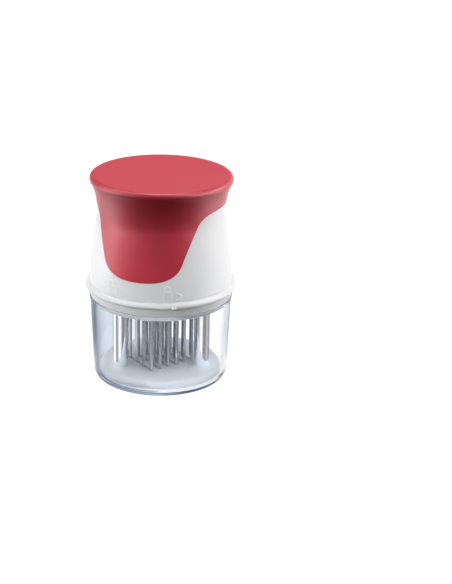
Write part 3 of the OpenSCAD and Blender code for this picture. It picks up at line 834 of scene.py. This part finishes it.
class TENDERIZER_OT_tubes(bpy.types.Operator):
    """Builds the three polished guide tubes."""

    bl_idname = "tenderizer.tubes"
    bl_label = "Guide Tubes"

    def execute(self, context):
        s = context.scene.works_sizes
        for place in (1, 2, 3):
            node = f"guide_tube_{place}"
            low, high = node_box(node)
            r, middle, soft = (high[0] - low[0]) / 2, (low[2] + high[2]) / 2, s.tube_round
            profile = rounded([
                (r, middle, 0), (r, low[2], soft), (r - s.tube_wall, low[2], soft),
                (r - s.tube_wall, high[2], soft), (r, high[2], soft), (r, middle + MM, 0),
            ], 4)
            grid = revolve(profile, all_round(96), (low + high)[:2] / 2)
            tube = skin(f"polished_tube_{place}", grid, loop=True)
            put_on(tube, "plate", "tube_steel", polished_steel(), node)
        return {"FINISHED"}


class TENDERIZER_OT_blades(bpy.types.Operator):
    """Builds the six blade rows: a strip with four blades, each ground to a slanted chisel edge."""

    bl_idname = "tenderizer.blades"
    bl_label = "Blade Rows"

    STRIP_LIFT = 3 * MM  # from the carrier's underside to the strips' lower edge
    ROOT = 1 * MM  # how far a blade runs up into its strip
    TIP_THICKNESS = 0.12  # share of the thickness that is left at the tip
    GRIND = 1.6  # how fast the thickness grows along the cutting edge
    TIP_WIDTH = 0.04  # share of the width that is left at the tip

    def execute(self, context):
        s = context.scene.works_sizes
        a = s.block_angle
        self.out = np.array([math.cos(a), math.sin(a), 0])
        self.along = np.array([-math.sin(a), math.cos(a), 0])
        strip_low = CARRIER_LOW[2] + self.STRIP_LIFT
        for place in range(1, 7):
            node = f"blade_row_{place}"
            low, high = node_box(node)
            middle = np.array([*(low + high)[:2] / 2, 0])
            row = [self.strip(s, middle, strip_low, high[2])]
            for blade in range(4):
                centre = middle + self.along * (blade - 1.5) * s.blade_pitch
                row.append(self.blade(s, centre, low[2], strip_low + self.ROOT))
            put_on(joined(f"steel_row_{place}", row), "grip", "blade_steel", blade_steel(), node)
        return {"FINISHED"}

    def strip(self, s, middle, low, high, bevel=0.1 * MM):
        """Strip: a flat bar with bevelled upper edges, as a loft through three heights."""
        half_t = s.blade_thickness / 2
        half_l = 1.5 * s.blade_pitch + s.blade_width / 2
        heights = np.array([low, high - bevel, high])
        return self.loft(middle, heights, half_t - np.array([0, 0, bevel]), -half_l, np.full(3, half_l))

    def blade(self, s, centre, tip, top):
        """Blade: its far side rises from the tip with the slanted edge, and near that edge the
        thickness falls off, as ground from both faces."""
        half_w, half_t = s.blade_width / 2, s.blade_thickness / 2
        share = np.linspace(0, 1, 14)
        heights = np.append(tip + s.edge_height * share, top)
        thickness = np.append(half_t * np.minimum(1, self.TIP_THICKNESS + share * self.GRIND), half_t)
        far = np.append(-half_w + 2 * half_w * np.maximum(share, self.TIP_WIDTH), half_w)
        return self.loft(centre, heights, thickness, -half_w, far)

    def loft(self, middle, heights, half_t, near, far, soft=0.12 * MM):
        """Closed loft: at each height a rectangle, half_t to either side and from near to far along
        the row, with its corners cut."""
        cut = np.minimum(np.minimum(soft, half_t / 2), (far - near) / 4)
        inner = half_t - cut
        n = np.stack([half_t, half_t, inner, -inner, -half_t, -half_t, -inner, inner], -1)[..., None]
        start = near + cut
        closed = np.full_like(far, near)
        v = np.stack([start, far - cut, far, far, far - cut, start, closed, closed], -1)[..., None]
        up = heights[:, None, None] * np.array([0, 0, 1])
        grid = middle + n * self.out + v * self.along + up
        return skin_faces(grid[::-1], caps=(True, True))


class TENDERIZER_OT_plate(bpy.types.Operator):
    """Builds the press plate: a disc with a soft upper edge, cut by the slots, pockets and screw holes."""

    bl_idname = "tenderizer.plate"
    bl_label = "Press Plate"

    LOWER_ROUND = 0.8 * MM
    POCKET_PLAY = 0.02 * MM
    SCREW_HOLE = 3.1 * MM  # radius of the screw heads' holes
    HOLE_DEPTH = 1.7 * MM
    OVERCUT = 1 * MM  # how far a cutter stands out of the plate

    def execute(self, context):
        s = context.scene.works_sizes
        radius, low, high = PLATE_HIGH[0], PLATE_LOW[2], PLATE_HIGH[2]
        profile = rounded([
            (POLE, high, 0), (radius, high, s.plate_round), (radius, low, self.LOWER_ROUND), (POLE, low, 0),
        ], 14)
        plate = skin("slotted_plate", revolve(profile, all_round(192)), caps=(True, True))
        cutters = self.slots(s, low, high) + self.pockets(low, high)
        for cutter in cutters:
            cut = plate.modifiers.new("cut", "BOOLEAN")
            cut.operation, cut.object, cut.solver = "DIFFERENCE", cutter, "EXACT"
        depsgraph = context.evaluated_depsgraph_get()
        solid = bpy.data.meshes.new_from_object(plate.evaluated_get(depsgraph))
        plate.modifiers.clear()
        plate.data = solid
        for cutter in cutters:
            bpy.data.objects.remove(cutter)
        solid.set_sharp_from_angle(angle=SHARP_ANGLE)
        put_on(plate, "plate", "plate_plastic", plate_plastic(), "press_plate")
        return {"FINISHED"}

    def slots(self, s, low, high):
        """One long box with round ends for each blade row."""
        made = []
        a = s.block_angle
        out = np.array([math.cos(a), math.sin(a)])
        along = np.array([-math.sin(a), math.cos(a)])
        half = 1.5 * s.blade_pitch + s.blade_width / 2 + s.slot_spare - s.slot_width / 2
        bend = np.radians(np.linspace(-90, 90, 9))
        end = s.slot_width / 2 * np.stack([np.sin(bend), np.cos(bend)], -1)
        plan = np.vstack([end + [0, half], -end - [0, half]])[::-1]
        for place in range(6):
            middle = out * (place - 2.5) * s.row_pitch
            flat = middle + plan[:, :1] * out + plan[:, 1:] * along
            ends = (high + self.OVERCUT, low - self.OVERCUT)
            rows = [np.hstack([flat, np.full((len(flat), 1), z)]) for z in ends]
            made.append(skin(f"slot_{place}", np.array(rows), caps=(True, True)))
        return made

    def pockets(self, low, high):
        """A pocket for each tube's foot and a round screw hole under it."""
        made = []
        for place in (1, 2, 3):
            tube_low, tube_high = node_box(f"guide_tube_{place}")
            pocket = (tube_high[0] - tube_low[0]) / 2 + self.POCKET_PLAY
            for radius, foot, head in (
                (pocket, tube_low[2], high + self.OVERCUT),
                (self.SCREW_HOLE, low - self.OVERCUT, low + self.HOLE_DEPTH),
            ):
                profile = np.array([[radius, head], [radius, foot]])
                grid = revolve(profile, all_round(96), (tube_low + tube_high)[:2] / 2)
                made.append(skin("pocket", grid, caps=(True, True)))
        return made


class TENDERIZER_OT_springs(bpy.types.Operator):
    """Builds the three return springs: round wire wound evenly, with a level turn at each end."""

    bl_idname = "tenderizer.springs"
    bl_label = "Return Springs"

    STEPS = 28  # points in a turn of the wire
    LEVEL = 0.4  # turns at each end that stay level

    def execute(self, context):
        s = context.scene.works_sizes
        for place in (1, 2, 3):
            node = f"spring_{place}"
            low, high = node_box(node)
            centre = (low + high)[:2] / 2
            coil = (high[0] - low[0]) / 2 - s.wire_radius
            grid = self.wire(s, centre, coil, low[2], high[2])
            spring = skin(f"wound_spring_{place}", grid, caps=(True, True))
            put_on(spring, "grip", "spring_steel", dark_steel(), node)
            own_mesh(spring)
        return {"FINISHED"}

    def wire(self, s, centre, coil, low, high):
        """Centre line (coil cos a, coil sin a, z): z stays level at both ends and rises evenly
        between; a ring of eight points stands round it."""
        turns = s.spring_turns
        a = np.linspace(0, 2 * math.pi * turns, turns * self.STEPS + 1)
        share = np.clip((a / (2 * math.pi) - self.LEVEL) / (turns - 2 * self.LEVEL), 0, 1)
        z = low + s.wire_radius + (high - low - 2 * s.wire_radius) * share
        out = np.stack([np.cos(a), np.sin(a), np.zeros_like(a)], -1)
        line = coil * out + np.stack([np.full_like(a, centre[0]), np.full_like(a, centre[1]), z], -1)
        b = all_round(8)[None, :, None]
        up = np.array([0, 0, 1.0])
        return line[:, None] + s.wire_radius * (np.cos(b) * out[:, None] + np.sin(b) * up)


class TENDERIZER_OT_works(bpy.types.Operator):
    """Gives the hidden parts of the works their finishes; their CAD shapes stay."""

    bl_idname = "tenderizer.works"
    bl_label = "Carrier, Clamp and Screws"

    def execute(self, context):
        for name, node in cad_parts.items():
            if node.hide_render:
                continue
            if name == "blade_carrier":
                material = white_plastic()
            elif "screws" in name:
                material = dark_steel()
            else:
                material = grey_plastic()
            node.data.materials.clear()
            node.data.materials.append(material)
        return {"FINISHED"}


class TENDERIZER_OT_stage(bpy.types.Operator):
    """Sets the floor, the white surroundings, the soft lamps and the camera."""

    bl_idname = "tenderizer.stage"
    bl_label = "Stage"

    # Lamps: distance, width, height in metres, beam in degrees, height that they are aimed at.
    SOFTBOX = (0.9, 0.36, 0.42, 180, 0.08)
    STRIP = (0.5, 0.3, 0.06, 11, 0.073)
    FOOT_STRIP = (0.5, 0.3, 0.06, 8, 0.012)
    LAMPS = (
        # name, degrees from the camera's side, elevation, watts, form
        ("left_softbox", -84, 3, 1.55, SOFTBOX),
        ("right_softbox", 104, 27, 2.5, SOFTBOX),
        ("top_left_softbox", -98, 54, 2.5, SOFTBOX),
        ("top_right_softbox", 60, 54, 2.5, SOFTBOX),
        ("top_back_softbox", 180, 74, 4.0, SOFTBOX),
        ("front_left_strip", -44, 22, 0.02, STRIP),
        ("front_strip", 0, 22, 0.008, STRIP),
        ("front_right_strip", 40, 22, 0.008, STRIP),
        ("foot_strip", -28, 8, 0.042, FOOT_STRIP),
    )
    FLOOR_GLOW = (
        (-180, 0.3), (-122, 0.25), (-105, 0.66), (-84, 0.66), (-68, 0.2), (-50, 0.05), (0, 0.0), (30, 0.0),
        (58, 0.1), (84, 0.62), (105, 0.62), (122, 0.3), (180, 0.3),
    )
    STUDIO_DARK = (0.03, 0.04, 0.055)
    STUDIO = (
        (-180, 0.05), (-150, 0.03), (-120, 0.08), (-100, 0.3), (-85, 0.6), (-62, 0.6), (-45, 0.15),
        (-25, STUDIO_DARK), (40, STUDIO_DARK), (62, 0.9), (88, 0.9), (105, 0.2), (135, 0.2), (160, 0.1),
        (180, 0.05),
    )
    SEEN_THROUGH = (
        (-180, (0.9, 0.93, 0.96)), (-176, (0.64, 0.7, 0.78)), (-171, (0.46, 0.53, 0.63)),
        (-163, (0.11, 0.16, 0.25)), (-150, (0.09, 0.13, 0.21)), (-120, (0.45, 0.5, 0.58)), (-90, 0.85),
        (150, (0.75, 0.8, 0.86)), (162, 0.85), (172, 0.97), (180, 1.0),
    )
    SEEN_IN_STEEL = (
        (-180, 0.2), (-150, 0.25), (-128, 0.5), (-110, 1.0), (-80, 1.0), (-66, 0.22), (-50, 0.2),
        (-36, 0.55), (-20, 0.95), (2, 0.95), (12, 0.5), (24, 0.2), (36, 0.15), (50, 0.17), (62, 0.28),
        (78, 0.5), (95, 0.38), (115, 0.22), (180, 0.2),
    )
    FLOOR_HALF = 3  # half the floor's side in metres
    FLOOR_DROP = 0.02 * MM  # gap between the floor and the cup

    def execute(self, context):
        scene = context.scene
        scene.view_settings.view_transform = "Standard"
        azimuth = scene.stage_settings.azimuth
        self.make_floor(azimuth)
        self.make_world(scene, azimuth)
        self.make_camera(scene, scene.stage_settings)
        for lamp in self.LAMPS:
            self.lamp(azimuth, *lamp)
        return {"FINISHED"}

    def ramp(self, graph, value, near, far, first, last):
        """Output that runs from first to last while the value runs from near to far."""
        node = graph.add("MapRange", From_Min=near, From_Max=far, To_Min=first, To_Max=last)
        graph.link(value, node.inputs["Value"])
        return node.outputs["Result"]

    def make_floor(self, azimuth):
        """To the camera white with a faint shadow that ends in plain white, absent to what looks
        through the cup, and to all other rays a glow that is bright under the two side softboxes and
        dark in front."""
        corners = np.array([[-1, -1, 0], [1, -1, 0], [1, 1, 0], [-1, 1, 0]]) * self.FLOOR_HALF
        floor = make_object("floor", corners - [0, 0, self.FLOOR_DROP], [[0, 1, 2, 3]])
        material = bpy.data.materials.new("pale_floor")
        material.use_nodes = True
        graph = Graph(material.node_tree)
        graph.nodes.clear()
        rays = graph.add("LightPath")
        place = graph.add("TexCoord").outputs["Object"]
        length = graph.nodes.new("ShaderNodeVectorMath")
        length.operation = "LENGTH"
        graph.link(place, length.inputs[0])
        reach = length.outputs["Value"]
        matt = graph.add("BsdfDiffuse", Color=(0.9, 0.9, 0.9, 1))
        white = graph.add("Emission", Strength=1.12)
        lit = graph.blend(self.ramp(graph, reach, 0.15, 0.5, 0.8, 1.0), matt.outputs[0], white.outputs[0])
        glow = graph.add("Emission")
        graph.link(graph.compass(place, azimuth, self.FLOOR_GLOW), glow.inputs["Color"])
        mirrored = graph.calc("GREATER_THAN", rays.outputs["Glossy Depth"], 0.5)
        lively = graph.calc("ADD", self.ramp(graph, reach, 0.12, 0.3, 0.5, 3.6), mirrored)
        outside = graph.calc("SUBTRACT", 1.0, rays.outputs["Is Transmission Ray"])
        graph.link(graph.calc("MULTIPLY", lively, outside), glow.inputs["Strength"])
        solid = graph.blend(rays.outputs["Is Camera Ray"], glow.outputs[0], lit)
        clear = graph.add("BsdfTransparent")
        whole = graph.blend(graph.looks_through(rays), solid, clear.outputs[0])
        graph.link(whole, graph.add("OutputMaterial").inputs["Surface"])
        floor.data.materials.append(material)

    def make_world(self, scene, azimuth):
        """White where the camera looks past the tool, shaded to the left where it looks through the
        cup, striped for what is mirrored inside the cup, and for other mirrored rays a studio with two
        bright sides and a dark front."""
        world = bpy.data.worlds.new("studio")
        scene.world = world
        world.use_nodes = True
        graph = Graph(world.node_tree)
        graph.nodes.clear()
        rays = graph.add("LightPath")
        direction = graph.add("TexCoord").outputs["Generated"]
        white = graph.add("Background", Strength=1.0)
        through = graph.add("Background", Strength=1.2)
        graph.link(graph.compass(direction, azimuth, self.SEEN_THROUGH), through.inputs["Color"])
        studio = graph.add("Background")
        graph.link(graph.compass(direction, azimuth, self.STUDIO), studio.inputs["Color"])
        split = graph.add("SeparateXYZ")
        graph.link(direction, split.inputs["Vector"])
        graph.link(self.ramp(graph, split.outputs["Z"], 0.4, 0.7, 8.0, 0.5), studio.inputs["Strength"])
        dark = graph.add("Background", Strength=0.02)
        mirrored = graph.calc("GREATER_THAN", rays.outputs["Glossy Depth"], 0.5)
        around = graph.blend(mirrored, dark.outputs[0], studio.outputs[0])
        steel = graph.add("Background", Strength=1.45)
        graph.link(graph.compass(direction, azimuth, self.SEEN_IN_STEEL), steel.inputs["Color"])
        behind = graph.blend(graph.mirrored_inside(rays), through.outputs[0], steel.outputs[0])
        inner = graph.blend(graph.looks_through(rays), around, behind)
        whole = graph.blend(rays.outputs["Is Camera Ray"], inner, white.outputs[0])
        graph.link(whole, graph.add("OutputWorld").inputs["Surface"])

    def lamp(self, azimuth, name, degrees, elevation, watts, form):
        """Rectangular soft lamp on a sphere round the tool, turned towards its axis at the aimed
        height. The clear cup is lit by it but doesn't show it."""
        distance, width, height, beam, aim = form
        light = bpy.data.lights.new(name, "AREA")
        light.shape = "RECTANGLE"
        light.size, light.size_y = width, height
        light.energy = watts
        light.spread = math.radians(beam)
        lamp = bpy.data.objects.new(name, light)
        bpy.context.scene.collection.objects.link(lamp)
        lamp.visible_transmission = False
        rise = math.radians(elevation)
        plan = distance * math.cos(rise) * heading(np.array(azimuth + math.radians(degrees)))
        lamp.location = (*plan, aim + distance * math.sin(rise))
        lamp.rotation_euler = (Vector((0, 0, aim)) - lamp.location).to_track_quat("-Z", "Y").to_euler()

    def make_camera(self, scene, s):
        """Camera on a sphere round the aimed point, turned so that this point falls on its pixel of
        the 452 by 584 picture."""
        width, height = 452, 584
        data = bpy.data.cameras.new("camera")
        data.sensor_fit = "AUTO"
        data.sensor_width = 36
        data.lens = s.focal / height * data.sensor_width
        data.clip_start, data.clip_end = 0.05, 20
        aim = Vector((0, 0, s.aim_height))
        back = Vector((
            math.sin(s.azimuth) * math.cos(s.elevation), -math.cos(s.azimuth) * math.cos(s.elevation),
            math.sin(s.elevation),
        ))
        right = Vector((math.cos(s.azimuth), math.sin(s.azimuth), 0))
        up = back.cross(right)
        ray = Vector(((s.aim_x - width / 2) / s.focal, (height / 2 - s.aim_y) / s.focal, -1)).normalized()
        level = Matrix((right, up, back)).transposed()
        swing = ray.rotation_difference(Vector((0, 0, -1)))
        camera = bpy.data.objects.new("camera", data)
        scene.collection.objects.link(camera)
        turned = level @ Matrix.Rotation(s.roll, 3, "Z") @ swing.to_matrix()
        camera.matrix_world = Matrix.Translation(aim + back * s.distance) @ turned.to_4x4()
        scene.camera = camera


class TENDERIZER_PT_build(bpy.types.Panel):
    """Lists the tenderizer's pieces in the sidebar."""

    bl_idname = "TENDERIZER_PT_build"
    bl_label = "Meat Tenderizer"
    bl_space_type = "VIEW_3D"
    bl_region_type = "UI"
    bl_category = "Tenderizer"

    def draw(self, context):
        for operator in OPERATORS:
            self.layout.operator(operator.bl_idname)


OPERATORS = (
    TENDERIZER_OT_cup, TENDERIZER_OT_ring, TENDERIZER_OT_grip, TENDERIZER_OT_signs,
    TENDERIZER_OT_tubes, TENDERIZER_OT_blades, TENDERIZER_OT_plate, TENDERIZER_OT_springs,
    TENDERIZER_OT_works, TENDERIZER_OT_stage,
)
GROUPS = {
    "cup_sizes": CupSizes, "ring_sizes": RingSizes, "grip_sizes": GripSizes, "works_sizes": WorksSizes,
    "stage_settings": StageSettings,
}


def register():
    for group in GROUPS.values():
        bpy.utils.register_class(group)
    for operator in OPERATORS:
        bpy.utils.register_class(operator)
    bpy.utils.register_class(TENDERIZER_PT_build)
    for name, group in GROUPS.items():
        setattr(bpy.types.Scene, name, bpy.props.PointerProperty(type=group))


def unregister():
    for name in GROUPS:
        delattr(bpy.types.Scene, name)
    bpy.utils.unregister_class(TENDERIZER_PT_build)
    for operator in reversed(OPERATORS):
        bpy.utils.unregister_class(operator)
    for group in reversed(list(GROUPS.values())):
        bpy.utils.unregister_class(group)


def main():
    register()
    bpy.ops.tenderizer.cup()
    bpy.ops.tenderizer.ring()
    bpy.ops.tenderizer.grip()
    bpy.ops.tenderizer.signs()
    bpy.ops.tenderizer.tubes()
    bpy.ops.tenderizer.blades()
    bpy.ops.tenderizer.plate()
    bpy.ops.tenderizer.springs()
    bpy.ops.tenderizer.works()
    bpy.ops.tenderizer.stage()


if __name__ == "__main__":
    main()
